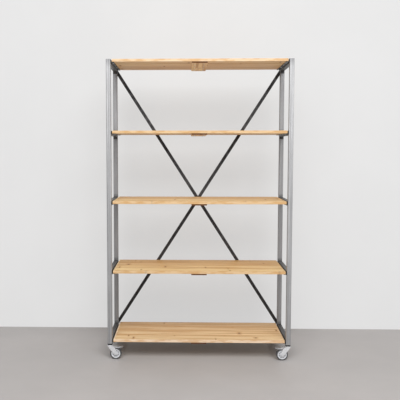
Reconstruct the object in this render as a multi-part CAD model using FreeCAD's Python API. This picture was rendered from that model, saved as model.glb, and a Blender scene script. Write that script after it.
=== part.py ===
"""Open shelving unit: two welded side frames, plank shelves, a flat-bar X brace and four castors.

Lengths are in millimetres. +Z is up, the front faces -Y, and the origin is on the floor under the
middle of the unit.
"""
import FreeCAD, Part
import math
import os

# Whole unit
FRAME_WIDTH = 1200.0
FRAME_DEPTH = 450.0
FRAME_HEIGHT = 1854.0
LEVELS = ("bottom", "lower", "middle", "upper", "top")
CUT_OVERRUN = 1.0
PARALLEL_TOLERANCE = 1e-6

# Square tube of the uprights and rails
TUBE_SIDE = 30.0
TUBE_WALL = 2.0
TUBE_BORE_RADIUS = 1.0

# Cap plates and end plugs of the uprights
CAP_THICKNESS = 3.0
CAP_CLEARANCE = 0.1
PLUG_FLANGE = 9.5
PLUG_DEPTH = 9.0
PLUG_CLEARANCE = 0.1

# Ledges that carry the plank ends
LEDGE_WIDTH = 20.0
LEDGE_THICKNESS = 3.0
LEDGE_END_INSET = 2.0

# Planks, and the cleats across their undersides
PLANKS_PER_SHELF = 4
PLANK_THICKNESS = 18.0
PLANK_GAP = 1.0
PLANK_END_GAP = 8.0
PLANK_CHAMFER = 0.8
SHELF_EDGE_INSET = 1.0
CLEAT_WIDTH = 100.0
CLEAT_THICKNESS = 9.0
CLEAT_END_INSET = 6.0
CLEAT_CHAMFER = 1.0

# Wood screws
SCREW_RADIUS = 2.0
SCREW_HEAD_RADIUS = 4.0
SCREW_HEAD_HEIGHT = 2.4
SCREW_HEAD_ROUNDING = 1.2
SCREW_BITE = 12.0
SCREW_CLEARANCE = 0.1
CLEAT_SCREW_SPACING = 60.0

# X brace, its bolts and the rivet where the bars cross
BRACE_WIDTH = 22.0
BRACE_THICKNESS = 3.0
BRACE_END_MARGIN = 12.0
BRACE_CORNER_RADIUS = 6.0
BRACE_CROSSING_GAP = 0.2
JOGGLE_FLAT = 70.0
JOGGLE_RAMP = 45.0
BRACE_BOLT_RADIUS = 3.0
BRACE_BOLT_FLATS = 10.0
BRACE_BOLT_HEAD = 4.0
BRACE_BOLT_BITE = 4.0
BOLT_CLEARANCE = 0.05
RIVET_RADIUS = 2.5
RIVET_HEAD_RADIUS = 5.0
RIVET_HEAD_HEIGHT = 2.0
RIVET_HEAD_ROUNDING = 1.5
RIVET_SINK = 2.0

# Castor wheels
WHEEL_DIAMETER = 76.0
WHEEL_WIDTH = 24.0
TYRE_THICKNESS = 9.0
TYRE_SHOULDER = 3.0
TYRE_SEAT_CLEARANCE = 0.02
HUB_BOSS_RADIUS = 13.0
HUB_BOSS_PROUD = 0.8
HUB_RIM_THICKNESS = 4.0
HUB_DISH_DEPTH = 5.0
AXLE_RADIUS = 4.0
AXLE_FLATS = 13.0
AXLE_HEAD = 5.0
AXLE_NUT = 6.0
AXLE_TAIL = 2.0

# Castor forks and swivels
TRAIL = 38.0
FORK_SHEET = 2.5
FORK_SIDE_GAP = 0.5
FORK_HEADROOM = 10.8
FORK_FOOT_RADIUS = 12.0
FORK_LEG_REACH = 13.5
FORK_SHOULDER = 4.0
FORK_EAR_DROP = 3.3
FORK_EAR_MARGIN = 6.0
SWIVEL_GAP = 0.2
RUNNING_CLEARANCE = 0.05
RACE_RADIUS = 19.0
RACE_HEIGHT = 5.0
RACE_CHAMFER = 1.5
STEM_RADIUS = 5.0
STEM_FLATS = 16.0
STEM_HEAD = 6.0
STEM_BITE = 20.0

# Brakes of the front castors
BRAKE_PIN_RADIUS = 2.5
BRAKE_PIN_SETBACK = 5.0
BRAKE_PIN_PROUD = 1.0
BRAKE_BOSS_RADIUS = 4.5
BRAKE_SIDE_GAP = 0.5
BRAKE_LENGTH = 60.0
BRAKE_ARM_WIDTH = 12.0
BRAKE_THICKNESS = 3.5
BRAKE_DROOP = 1.5
BRAKE_PAD_LENGTH = 8.0
BRAKE_PAD_OFFSET = 4.0
BRAKE_PAD_LIFT = 3.0
PEDAL_LENGTH = 48.0
PEDAL_WIDTH = 32.0
PEDAL_CORNER_RADIUS = 6.0
PEDAL_TREAD = 16.0
PEDAL_SKIRT_SHEET = 2.5
PEDAL_SKIRT_DROP = 5.0

# Heights, from the floor up
WHEEL_RADIUS = WHEEL_DIAMETER / 2
CROWN_BOTTOM_Z = WHEEL_DIAMETER + FORK_HEADROOM
CROWN_TOP_Z = CROWN_BOTTOM_Z + FORK_SHEET
FORK_EAR_TOP_Z = CROWN_TOP_Z - FORK_EAR_DROP
RACE_BOTTOM_Z = CROWN_TOP_Z + SWIVEL_GAP
RACE_TOP_Z = RACE_BOTTOM_Z + RACE_HEIGHT
BASE_Z = RACE_TOP_Z + PLUG_FLANGE
LEVEL_PITCH = (FRAME_HEIGHT - TUBE_SIDE) / (len(LEVELS) - 1)
TOP_Z = BASE_Z + FRAME_HEIGHT
SHELF_TOPS = {level: BASE_Z + TUBE_SIDE + n * LEVEL_PITCH for n, level in enumerate(LEVELS)}
BRACE_BOLT_ZS = (BASE_Z + TUBE_SIDE / 2, TOP_Z - TUBE_SIDE / 2)

# Widths of a castor across its axle
HUB_HALF = WHEEL_WIDTH / 2 + HUB_BOSS_PROUD
FORK_INNER_HALF = HUB_HALF + FORK_SIDE_GAP
FORK_OUTER_HALF = FORK_INNER_HALF + FORK_SHEET
AXLE_HEAD_REACH = FORK_OUTER_HALF + AXLE_HEAD
AXLE_NUT_REACH = FORK_OUTER_HALF + AXLE_NUT + AXLE_TAIL

# Places across and along the unit
TUBE_CORNER_RADIUS = TUBE_BORE_RADIUS + TUBE_WALL
TUBE_BORE_HALF = TUBE_SIDE / 2 - TUBE_WALL
UPRIGHT_X = FRAME_WIDTH / 2 - TUBE_SIDE / 2
INNER_FACE_X = FRAME_WIDTH / 2 - TUBE_SIDE
BRACE_LIFT = BRACE_THICKNESS + BRACE_CROSSING_GAP
BRACE_STACK = max(BRACE_THICKNESS + BRACE_BOLT_HEAD, BRACE_LIFT + BRACE_THICKNESS + RIVET_HEAD_HEIGHT)
FRONT_REACH = max(AXLE_HEAD_REACH, RACE_RADIUS, PEDAL_WIDTH / 2) - TUBE_SIDE / 2
REAR_REACH = max(BRACE_STACK, max(AXLE_NUT_REACH, RACE_RADIUS) - TUBE_SIDE / 2)
FRONT_Y = (FRONT_REACH - REAR_REACH - FRAME_DEPTH) / 2
REAR_Y = FRONT_Y + FRAME_DEPTH
SIDES = {"left": -1, "right": 1}
UPRIGHT_Y = {"front": FRONT_Y + TUBE_SIDE / 2, "rear": REAR_Y - TUBE_SIDE / 2}
CORNERS = [(side, end) for side in SIDES for end in UPRIGHT_Y]
BRAKED_END = "front"

# Planks and their screws
PLANK_LENGTH = 2 * (INNER_FACE_X - PLANK_END_GAP)
SHELF_DEPTH = FRAME_DEPTH - 2 * SHELF_EDGE_INSET
PLANK_WIDTH = (SHELF_DEPTH - (PLANKS_PER_SHELF - 1) * PLANK_GAP) / PLANKS_PER_SHELF
PLANK_CENTRES_Y = [FRONT_Y + SHELF_EDGE_INSET + PLANK_WIDTH / 2 + n * (PLANK_WIDTH + PLANK_GAP)
                   for n in range(PLANKS_PER_SHELF)]
LEDGE_SCREW_X = INNER_FACE_X - (LEDGE_WIDTH + PLANK_END_GAP) / 2
SCREW_XS = {"ledge": (-LEDGE_SCREW_X, LEDGE_SCREW_X),
            "cleat": (-CLEAT_SCREW_SPACING / 2, CLEAT_SCREW_SPACING / 2)}
SCREW_CARRIERS = {"ledge": LEDGE_THICKNESS, "cleat": CLEAT_THICKNESS}

# Brake places, measured from the swivel axis towards the wheel
BRAKE_PIN_U = RACE_RADIUS + BRAKE_PIN_SETBACK
BRAKE_PIN_Z = FORK_EAR_TOP_Z - BRAKE_BOSS_RADIUS
BRAKE_END_U = BRAKE_PIN_U + BRAKE_LENGTH
PEDAL_START_U = BRAKE_END_U - PEDAL_LENGTH
BRAKE_PAD_U = TRAIL + BRAKE_PAD_OFFSET
BRAKE_HALF = FORK_INNER_HALF - BRAKE_SIDE_GAP
FORK_EAR_U = BRAKE_PIN_U + FORK_EAR_MARGIN


def vector(x, y, z):
    return FreeCAD.Vector(x, y, z)


UP = vector(0, 0, 1)
BACK = vector(0, 1, 0)


def block(low, high):
    """Box between two corners."""
    size = high - low
    return Part.makeBox(size.x, size.y, size.z, low)


def rod(radius, start, direction, length):
    """Cylinder from a point along a direction."""
    return Part.makeCylinder(radius, length, start, direction)


def hexagon(flats, height, start, direction):
    """Hexagonal prism that rises from a point along a direction."""
    corner = vector(flats / math.sqrt(3), 0, 0)
    turns = [FreeCAD.Rotation(UP, 60 * n) for n in range(6)]
    corners = [turn.multVec(corner) for turn in turns]
    prism = Part.Face(Part.makePolygon(corners + corners[:1])).extrude(UP * height)
    prism.Placement = FreeCAD.Placement(start, FreeCAD.Rotation(UP, direction))
    return prism


def edges_along(shape, axis):
    """Straight edges of a shape that run along an axis."""
    straight = [edge for edge in shape.Edges if isinstance(edge.Curve, Part.Line)]
    return [edge for edge in straight if edge.Curve.Direction.cross(axis).Length < PARALLEL_TOLERANCE]


def rounded_post(half, radius, foot, height):
    """Square post with rounded corners that stands on a point."""
    post = block(foot + vector(-half, -half, 0), foot + vector(half, half, height))
    return post.makeFillet(radius, edges_along(post, UP))


def slab(points, y, width):
    """Plate of an outline in X and Z, from a Y position back over a width."""
    outline = [vector(x, y, z) for x, z in points]
    return Part.Face(Part.makePolygon(outline + outline[:1])).extrude(BACK * width)


def square_tube(length):
    """Square tube with rounded corners, standing on the origin."""
    outer = rounded_post(TUBE_SIDE / 2, TUBE_CORNER_RADIUS, vector(0, 0, 0), length)
    bore = rounded_post(TUBE_BORE_HALF, TUBE_BORE_RADIUS, -UP * CUT_OVERRUN, length + 2 * CUT_OVERRUN)
    return outer.cut(bore)


def corner_point(side, end, z):
    """Point on the axis of an upright."""
    return vector(SIDES[side] * UPRIGHT_X, UPRIGHT_Y[end], z)


def upright(side, end):
    """Corner upright. The rear ones are tapped through the back wall for the brace bolts."""
    tube = square_tube(FRAME_HEIGHT)
    tube.translate(corner_point(side, end, BASE_Z))
    if end == "rear":
        hole_radius = BRACE_BOLT_RADIUS + BOLT_CLEARANCE
        for z in BRACE_BOLT_ZS:
            start = vector(SIDES[side] * UPRIGHT_X, REAR_Y - TUBE_WALL - CUT_OVERRUN, z)
            tube = tube.cut(rod(hole_radius, start, BACK, TUBE_WALL + 2 * CUT_OVERRUN))
    return tube


def side_rail(side, level):
    """Rail from the front upright to the rear one, its top level with the planks."""
    rail = square_tube(FRAME_DEPTH - 2 * TUBE_SIDE)
    rail.Placement = FreeCAD.Placement(
        vector(SIDES[side] * UPRIGHT_X, FRONT_Y + TUBE_SIDE, SHELF_TOPS[level] - TUBE_SIDE / 2),
        FreeCAD.Rotation(UP, BACK))
    return rail


def screw_holes(solid, xs, ys, bottom, depth):
    """Cut a screw hole upwards into a solid at each crossing of some X and Y positions."""
    for x in xs:
        for y in ys:
            start = vector(x, y, bottom - CUT_OVERRUN)
            solid = solid.cut(rod(SCREW_RADIUS + SCREW_CLEARANCE, start, UP, depth + CUT_OVERRUN))
    return solid


def ledge(side, level):
    """Flat bar on the inner face of a rail, drilled for one screw under each plank."""
    top = SHELF_TOPS[level] - PLANK_THICKNESS
    bottom = top - LEDGE_THICKNESS
    low_x, high_x = sorted((SIDES[side] * INNER_FACE_X, SIDES[side] * (INNER_FACE_X - LEDGE_WIDTH)))
    bar = block(vector(low_x, FRONT_Y + LEDGE_END_INSET, bottom),
                vector(high_x, REAR_Y - LEDGE_END_INSET, top))
    screw_x = SIDES[side] * LEDGE_SCREW_X
    return screw_holes(bar, [screw_x], PLANK_CENTRES_Y, bottom, LEDGE_THICKNESS + CUT_OVERRUN)


def upright_cap(side, end):
    """Plate let into the top of an upright, flush with its end."""
    foot = corner_point(side, end, TOP_Z - CAP_THICKNESS)
    return rounded_post(TUBE_BORE_HALF - CAP_CLEARANCE, TUBE_BORE_RADIUS, foot, CAP_THICKNESS)


def end_plug(side, end):
    """Threaded plug in the foot of an upright, with a flange as wide as the tube."""
    seat = corner_point(side, end, BASE_Z)
    flange = rounded_post(TUBE_SIDE / 2, TUBE_CORNER_RADIUS, seat - UP * PLUG_FLANGE, PLUG_FLANGE)
    body = rounded_post(TUBE_BORE_HALF - PLUG_CLEARANCE, TUBE_BORE_RADIUS, seat, PLUG_DEPTH)
    thread = rod(STEM_RADIUS + BOLT_CLEARANCE, seat - UP * (PLUG_FLANGE + CUT_OVERRUN), UP,
                 PLUG_FLANGE + PLUG_DEPTH + 2 * CUT_OVERRUN)
    return flange.fuse(body).removeSplitter().cut(thread)


def plank(level, number):
    """Shelf plank with eased edges and pilot holes for the screws from below."""
    top = SHELF_TOPS[level]
    bottom = top - PLANK_THICKNESS
    y = PLANK_CENTRES_Y[number]
    board = block(vector(-PLANK_LENGTH / 2, y - PLANK_WIDTH / 2, bottom),
                  vector(PLANK_LENGTH / 2, y + PLANK_WIDTH / 2, top))
    board = board.makeChamfer(PLANK_CHAMFER, board.Edges)
    for xs in SCREW_XS.values():
        board = screw_holes(board, xs, [y], bottom, SCREW_BITE + SCREW_CLEARANCE)
    return board


def cleat(level):
    """Cross board under the middle of a shelf, drilled for the screws into the planks."""
    top = SHELF_TOPS[level] - PLANK_THICKNESS
    bottom = top - CLEAT_THICKNESS
    board = block(vector(-CLEAT_WIDTH / 2, FRONT_Y + CLEAT_END_INSET, bottom),
                  vector(CLEAT_WIDTH / 2, REAR_Y - CLEAT_END_INSET, top))
    board = board.makeChamfer(CLEAT_CHAMFER, edges_along(board, BACK))
    return screw_holes(board, SCREW_XS["cleat"], PLANK_CENTRES_Y, bottom, CLEAT_THICKNESS + CUT_OVERRUN)


def wood_screw(x, y, top, thickness):
    """Round-headed screw that comes up through its carrier into a plank."""
    seat = vector(x, y, top - thickness)
    head = rod(SCREW_HEAD_RADIUS, seat, -UP, SCREW_HEAD_HEIGHT)
    lowest_rim = min(head.Edges, key=lambda edge: edge.BoundBox.ZMax)
    head = head.makeFillet(SCREW_HEAD_ROUNDING, [lowest_rim])
    return head.fuse(rod(SCREW_RADIUS, seat, UP, thickness + SCREW_BITE)).removeSplitter()


def shelf_screws():
    """All wood screws: through both ledges and the cleat of every shelf."""
    places = [(x, y, carrier) for carrier, xs in SCREW_XS.items() for x in xs for y in PLANK_CENTRES_Y]
    return [wood_screw(x, y, top - PLANK_THICKNESS, SCREW_CARRIERS[carrier])
            for top in SHELF_TOPS.values() for x, y, carrier in places]


def brace_bar(rising, lift):
    """Flat bar from corner to corner of the back. A lift joggles its middle over the other bar."""
    run = 2 * UPRIGHT_X
    rise = BRACE_BOLT_ZS[1] - BRACE_BOLT_ZS[0]
    half = math.hypot(run, rise) / 2
    end = half + BRACE_END_MARGIN
    ramp_foot = JOGGLE_FLAT / 2 + JOGGLE_RAMP
    joggle = [(-ramp_foot, 0), (-JOGGLE_FLAT / 2, lift), (JOGGLE_FLAT / 2, lift), (ramp_foot, 0)]
    route = [(-end, 0)] + (joggle if lift else []) + [(end, 0)]
    inner = [vector(u, v, -BRACE_WIDTH / 2) for u, v in route]
    outer = [point + BACK * BRACE_THICKNESS for point in reversed(inner)]
    bar = Part.Face(Part.makePolygon(inner + outer + inner[:1])).extrude(UP * BRACE_WIDTH)
    corners = [edge for edge in edges_along(bar, BACK) if abs(edge.CenterOfMass.x) > half]
    bar = bar.makeFillet(BRACE_CORNER_RADIUS, corners)
    holes = ((-half, 0, BRACE_BOLT_RADIUS), (half, 0, BRACE_BOLT_RADIUS), (0, lift, RIVET_RADIUS))
    for u, v, radius in holes:
        start = vector(u, v - CUT_OVERRUN, 0)
        bar = bar.cut(rod(radius + BOLT_CLEARANCE, start, BACK, BRACE_THICKNESS + 2 * CUT_OVERRUN))
    if not lift:
        bar = bar.cut(rivet_cone(BOLT_CLEARANCE))
    bar.rotate(vector(0, 0, 0), BACK, -rising * math.degrees(math.atan2(rise, run)))
    bar.translate(vector(0, REAR_Y, sum(BRACE_BOLT_ZS) / 2))
    return bar


def rivet_cone(clearance):
    """Sunk head of the rivet, pointing back from the origin."""
    wide = RIVET_HEAD_RADIUS + clearance
    return Part.makeCone(wide, RIVET_RADIUS + clearance, RIVET_SINK, vector(0, 0, 0), BACK)


def brace_rivet():
    """Rivet through both bars where they cross, flush in front and round-headed at the back."""
    length = BRACE_LIFT + BRACE_THICKNESS
    head = rod(RIVET_HEAD_RADIUS, BACK * length, BACK, RIVET_HEAD_HEIGHT)
    rear_rim = max(head.Edges, key=lambda edge: edge.BoundBox.YMin)
    head = head.makeFillet(RIVET_HEAD_ROUNDING, [rear_rim])
    shank = rod(RIVET_RADIUS, vector(0, 0, 0), BACK, length)
    rivet = shank.multiFuse([rivet_cone(0), head]).removeSplitter()
    rivet.translate(vector(0, REAR_Y, sum(BRACE_BOLT_ZS) / 2))
    return rivet


def brace_bolt(side, z):
    """Hex bolt that holds the end of a brace bar to a rear upright."""
    seat = vector(SIDES[side] * UPRIGHT_X, REAR_Y + BRACE_THICKNESS, z)
    head = hexagon(BRACE_BOLT_FLATS, BRACE_BOLT_HEAD, seat, BACK)
    shank = rod(BRACE_BOLT_RADIUS, seat, -BACK, BRACE_THICKNESS + TUBE_WALL + BRACE_BOLT_BITE)
    return head.fuse(shank).removeSplitter()


def castor_stem(side, end):
    """Bolt that comes up through the fork's crown and the race into the end plug."""
    seat = corner_point(side, end, CROWN_BOTTOM_Z - SWIVEL_GAP)
    head = hexagon(STEM_FLATS, STEM_HEAD, seat - UP * STEM_HEAD, UP)
    return head.fuse(rod(STEM_RADIUS, seat, UP, BASE_Z + STEM_BITE - seat.z)).removeSplitter()


def swivel_race(side, end):
    """Ring between the end plug and the fork's crown."""
    foot = corner_point(side, end, RACE_BOTTOM_Z)
    ring = rod(RACE_RADIUS, foot, UP, RACE_HEIGHT)
    top_rim = max(ring.Edges, key=lambda edge: edge.BoundBox.ZMin)
    ring = ring.makeChamfer(RACE_CHAMFER, [top_rim])
    bore_start = foot - UP * CUT_OVERRUN
    return ring.cut(rod(STEM_RADIUS + BOLT_CLEARANCE, bore_start, UP, RACE_HEIGHT + 2 * CUT_OVERRUN))


def inward(side):
    """Direction along X from a side towards the middle, which is where the wheels trail."""
    return -SIDES[side]


def axle_centre(side, end):
    return corner_point(side, end, WHEEL_RADIUS) + vector(inward(side) * TRAIL, 0, 0)


def fork_leg(way, y):
    """Side plate of a fork: a crown edge, a lower ear for a brake pin and a round foot at the axle."""
    axle = vector(way * TRAIL, y, WHEEL_RADIUS)
    crown_far = vector(-way * FORK_LEG_REACH, y, CROWN_TOP_Z)
    crown_near = vector(way * RACE_RADIUS, y, CROWN_TOP_Z)
    ear_near = crown_near - UP * FORK_EAR_DROP
    ear_far = vector(way * FORK_EAR_U, y, FORK_EAR_TOP_Z)
    shoulder_far = crown_far - UP * FORK_SHOULDER
    shoulder_near = ear_far - UP * FORK_SHOULDER

    def touching_point(shoulder, turn):
        """Point of the foot's circle where a line from a shoulder touches it."""
        away = shoulder - axle
        angle = math.atan2(away.z, away.x) + turn * math.acos(FORK_FOOT_RADIUS / away.Length)
        return axle + vector(math.cos(angle), 0, math.sin(angle)) * FORK_FOOT_RADIUS

    touch_far = touching_point(shoulder_far, way)
    touch_near = touching_point(shoulder_near, -way)
    path = [touch_near, shoulder_near, ear_far, ear_near, crown_near, crown_far, shoulder_far, touch_far]
    outline = [Part.makeLine(start, stop) for start, stop in zip(path, path[1:])]
    outline.append(Part.Arc(touch_far, axle - UP * FORK_FOOT_RADIUS, touch_near).toShape())
    return Part.Face(Part.Wire(outline)).extrude(BACK * FORK_SHEET)


def castor_fork(side, end):
    """Pressed fork: a round crown and two side plates, drilled for the stem, the axle and any brake pin."""
    way = inward(side)
    crown = rod(RACE_RADIUS, UP * CROWN_BOTTOM_Z, UP, FORK_SHEET)
    bridge_ends = sorted((-way * FORK_LEG_REACH, way * RACE_RADIUS))
    bridge = block(vector(bridge_ends[0], -FORK_OUTER_HALF, CROWN_BOTTOM_Z),
                   vector(bridge_ends[1], FORK_OUTER_HALF, CROWN_TOP_Z))
    legs = [fork_leg(way, y) for y in (-FORK_OUTER_HALF, FORK_INNER_HALF)]
    fork = crown.multiFuse([bridge] + legs).removeSplitter()
    fork = fork.cut(rod(STEM_RADIUS + RUNNING_CLEARANCE, UP * (CROWN_BOTTOM_Z - CUT_OVERRUN), UP,
                        FORK_SHEET + 2 * CUT_OVERRUN))
    cross_holes = [(TRAIL, WHEEL_RADIUS, AXLE_RADIUS + BOLT_CLEARANCE)]
    if end == BRAKED_END:
        cross_holes.append((BRAKE_PIN_U, BRAKE_PIN_Z, BRAKE_PIN_RADIUS + RUNNING_CLEARANCE))
    for u, z, radius in cross_holes:
        start = vector(way * u, -FORK_OUTER_HALF - CUT_OVERRUN, z)
        fork = fork.cut(rod(radius, start, BACK, 2 * (FORK_OUTER_HALF + CUT_OVERRUN)))
    fork.translate(corner_point(side, end, 0))
    return fork


def castor_brake(side, end):
    """Brake lever: a pin in the fork's ears, a narrow arm, a pad over the tyre and a skirted foot pedal."""
    way = inward(side)
    top_z = BRAKE_PIN_Z + BRAKE_THICKNESS

    def arm_top(u):
        """Height of the lever's sloping top."""
        return top_z - BRAKE_DROOP * (u - BRAKE_PIN_U) / BRAKE_LENGTH

    def lever_plate(span, depths, y, width):
        """Sloping plate over a span of the lever, between two depths below its top."""
        upper = [(way * u, arm_top(u) - depths[0]) for u in span]
        lower = [(way * u, arm_top(u) - depths[1]) for u in reversed(span)]
        return slab(upper + lower, y, width)

    pin_half = FORK_OUTER_HALF + BRAKE_PIN_PROUD
    pin = rod(BRAKE_PIN_RADIUS, vector(way * BRAKE_PIN_U, -pin_half, BRAKE_PIN_Z), BACK, 2 * pin_half)
    boss = rod(BRAKE_BOSS_RADIUS, vector(way * BRAKE_PIN_U, -BRAKE_HALF, BRAKE_PIN_Z), BACK, 2 * BRAKE_HALF)
    plate_depths = (0, BRAKE_THICKNESS)
    arm = lever_plate((BRAKE_PIN_U, BRAKE_END_U), plate_depths, -BRAKE_ARM_WIDTH / 2, BRAKE_ARM_WIDTH)
    pedal = lever_plate((PEDAL_START_U, BRAKE_END_U), plate_depths, -PEDAL_WIDTH / 2, PEDAL_WIDTH)
    pedal_middle = BRAKE_END_U - PEDAL_LENGTH / 2
    tip = [edge for edge in edges_along(pedal, UP) if abs(edge.CenterOfMass.x) > pedal_middle]
    pedal = pedal.makeFillet(PEDAL_CORNER_RADIUS, tip)
    skirt_span = (PEDAL_START_U, BRAKE_END_U - PEDAL_TREAD)
    skirt_depths = (BRAKE_THICKNESS / 2, BRAKE_THICKNESS + PEDAL_SKIRT_DROP)
    skirts = [lever_plate(skirt_span, skirt_depths, y, PEDAL_SKIRT_SHEET)
              for y in (-PEDAL_WIDTH / 2, PEDAL_WIDTH / 2 - PEDAL_SKIRT_SHEET)]
    pad_ends = sorted(way * (BRAKE_PAD_U + sign * BRAKE_PAD_LENGTH / 2) for sign in SIDES.values())
    pad = block(vector(pad_ends[0], -BRAKE_HALF, WHEEL_DIAMETER + BRAKE_PAD_LIFT),
                vector(pad_ends[1], BRAKE_HALF, arm_top(BRAKE_PAD_U) - BRAKE_THICKNESS / 2))
    lever = arm.multiFuse([boss, pin, pad, pedal] + skirts).removeSplitter()
    lever.translate(corner_point(side, end, 0))
    return lever


def castor_axle(side, end):
    """Axle bolt with its head at the front and its nut at the back, as two solids."""
    front = axle_centre(side, end) - BACK * FORK_OUTER_HALF
    rear = axle_centre(side, end) + BACK * FORK_OUTER_HALF
    shank = rod(AXLE_RADIUS, front, BACK, 2 * FORK_OUTER_HALF + AXLE_NUT + AXLE_TAIL)
    bolt = hexagon(AXLE_FLATS, AXLE_HEAD, front, -BACK).fuse(shank).removeSplitter()
    nut = hexagon(AXLE_FLATS, AXLE_NUT, rear, BACK)
    bore_start = rear - BACK * CUT_OVERRUN
    nut = nut.cut(rod(AXLE_RADIUS + BOLT_CLEARANCE, bore_start, BACK, AXLE_NUT + 2 * CUT_OVERRUN))
    return Part.makeCompound([bolt, nut])


def turned(half_profile, centre):
    """Solid turned about an axle along Y from (radius, offset) points, alike on both sides."""
    profile = half_profile + [(radius, -offset) for radius, offset in reversed(half_profile)]
    points = [vector(radius, offset, 0) for radius, offset in profile]
    solid = Part.Face(Part.makePolygon(points + points[:1])).revolve(vector(0, 0, 0), BACK, 360)
    solid.translate(centre)
    return solid


def wheel_hub(side, end):
    """Dished wheel centre with a boss and a rim, bored to run on the axle."""
    rim = WHEEL_RADIUS - TYRE_THICKNESS - TYRE_SEAT_CLEARANCE
    dish_radius = rim - HUB_RIM_THICKNESS
    half = WHEEL_WIDTH / 2
    dish = half - HUB_DISH_DEPTH
    boss = [(AXLE_RADIUS + RUNNING_CLEARANCE, HUB_HALF), (HUB_BOSS_RADIUS - HUB_BOSS_PROUD, HUB_HALF),
            (HUB_BOSS_RADIUS, half), (HUB_BOSS_RADIUS, dish)]
    rim_section = [(dish_radius, dish), (dish_radius, half), (rim, half)]
    return turned(boss + rim_section, axle_centre(side, end))


def tyre(side, end):
    """Ring of rubber round the hub, with sloped shoulders."""
    half = WHEEL_WIDTH / 2
    return turned([(WHEEL_RADIUS - TYRE_THICKNESS, half), (WHEEL_RADIUS - TYRE_SHOULDER, half),
                   (WHEEL_RADIUS, half - TYRE_SHOULDER)], axle_centre(side, end))


def corner_nodes():
    """Uprights and the moving pieces of the castors."""
    nodes = {}
    for side, end in CORNERS:
        nodes[f"{side}_{end}_upright"] = upright(side, end)
        nodes[f"{side}_{end}_castor_fork"] = castor_fork(side, end)
        nodes[f"{side}_{end}_castor_axle"] = castor_axle(side, end)
        nodes[f"{side}_{end}_wheel_hub"] = wheel_hub(side, end)
        nodes[f"{side}_{end}_tyre"] = tyre(side, end)
        if end == BRAKED_END:
            nodes[f"{side}_{end}_castor_brake"] = castor_brake(side, end)
    return nodes


def shelf_nodes():
    """Planks, cleats and screws."""
    nodes = {}
    for level in LEVELS:
        for number in range(PLANKS_PER_SHELF):
            nodes[f"{level}_shelf_plank_{number + 1}"] = plank(level, number)
        nodes[f"{level}_shelf_cleat"] = cleat(level)
    nodes["shelf_screws"] = Part.makeCompound(shelf_screws())
    return nodes


def frame_nodes():
    """Rails, ledges, the brace and the small fixed pieces of the side frames."""
    nodes = {}
    for side in SIDES:
        nodes[f"{side}_side_rails"] = Part.makeCompound([side_rail(side, level) for level in LEVELS])
        nodes[f"{side}_shelf_ledges"] = Part.makeCompound([ledge(side, level) for level in LEVELS])
    nodes["brace_rising_right"] = brace_bar(1, 0)
    nodes["brace_rising_left"] = brace_bar(-1, BRACE_LIFT)
    nodes["brace_rivet"] = brace_rivet()
    nodes["brace_bolts"] = Part.makeCompound([brace_bolt(side, z) for side in SIDES for z in BRACE_BOLT_ZS])
    for name, make in (("upright_caps", upright_cap), ("upright_end_plugs", end_plug),
                       ("castor_stems", castor_stem), ("swivel_races", swivel_race)):
        nodes[name] = Part.makeCompound([make(side, end) for side, end in CORNERS])
    return nodes


def main():
    os.makedirs("parts", exist_ok=True)
    nodes = {**corner_nodes(), **shelf_nodes(), **frame_nodes()}
    for name, shape in nodes.items():
        if not shape.isValid():
            raise ValueError(f"{name} is not a valid shape")
        shape.exportStep(os.path.join("parts", f"{name}.step"))


main()
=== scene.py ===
"""Open shelving unit on castors: finishes, weld beads, castor details, studio and camera.

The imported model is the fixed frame. Lengths are in metres, +Z is up and the front faces -Y.
"""
import math

import bmesh
import bpy
from bpy.props import FloatProperty, FloatVectorProperty, IntProperty, PointerProperty
from mathutils import Matrix, Vector


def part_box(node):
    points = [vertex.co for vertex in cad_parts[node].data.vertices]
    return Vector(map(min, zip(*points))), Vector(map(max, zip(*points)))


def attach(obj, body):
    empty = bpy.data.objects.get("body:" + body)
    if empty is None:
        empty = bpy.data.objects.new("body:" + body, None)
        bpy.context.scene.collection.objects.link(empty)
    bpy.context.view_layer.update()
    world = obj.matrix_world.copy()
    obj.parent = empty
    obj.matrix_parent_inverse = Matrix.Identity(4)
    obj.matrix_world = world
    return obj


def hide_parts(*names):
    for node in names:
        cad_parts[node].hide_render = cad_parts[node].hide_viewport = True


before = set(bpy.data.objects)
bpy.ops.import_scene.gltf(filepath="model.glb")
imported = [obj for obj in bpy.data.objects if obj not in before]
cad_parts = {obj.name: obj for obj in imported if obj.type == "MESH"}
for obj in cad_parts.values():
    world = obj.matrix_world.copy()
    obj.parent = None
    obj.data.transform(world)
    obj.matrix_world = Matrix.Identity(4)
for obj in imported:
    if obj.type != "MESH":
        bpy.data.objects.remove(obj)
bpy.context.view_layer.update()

bl_info = {
    "name": "Shelving unit on castors",
    "version": (1, 0, 0),
    "blender": (4, 5, 0),
    "location": "3D View > Sidebar > Shelving",
    "description": "Dresses the packed shelving unit and sets it in a plain studio",
    "category": "Object",
}

# Names of the frame's pieces
LEVELS = ("bottom", "lower", "middle", "upper", "top")
SIDES = {"left": -1, "right": 1}
ENDS = ("front", "rear")
CORNERS = [f"{side}_{end}" for side in SIDES for end in ENDS]
BRAKED_CORNERS = [f"{side}_front" for side in SIDES]
PLANKS_PER_SHELF = 4
UPRIGHTS = [f"{corner}_upright" for corner in CORNERS]
PLANKS = [f"{level}_shelf_plank_{n + 1}" for level in LEVELS for n in range(PLANKS_PER_SHELF)]
CLEATS = [f"{level}_shelf_cleat" for level in LEVELS]
RAILS = [f"{side}_side_rails" for side in SIDES]
LEDGES = [f"{side}_shelf_ledges" for side in SIDES]
BRACES = ["brace_rising_right", "brace_rising_left", "brace_rivet", "brace_bolts"]
PLATED = [f"{corner}_castor_axle" for corner in CORNERS] + ["castor_stems", "swivel_races", "shelf_screws"]

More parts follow.
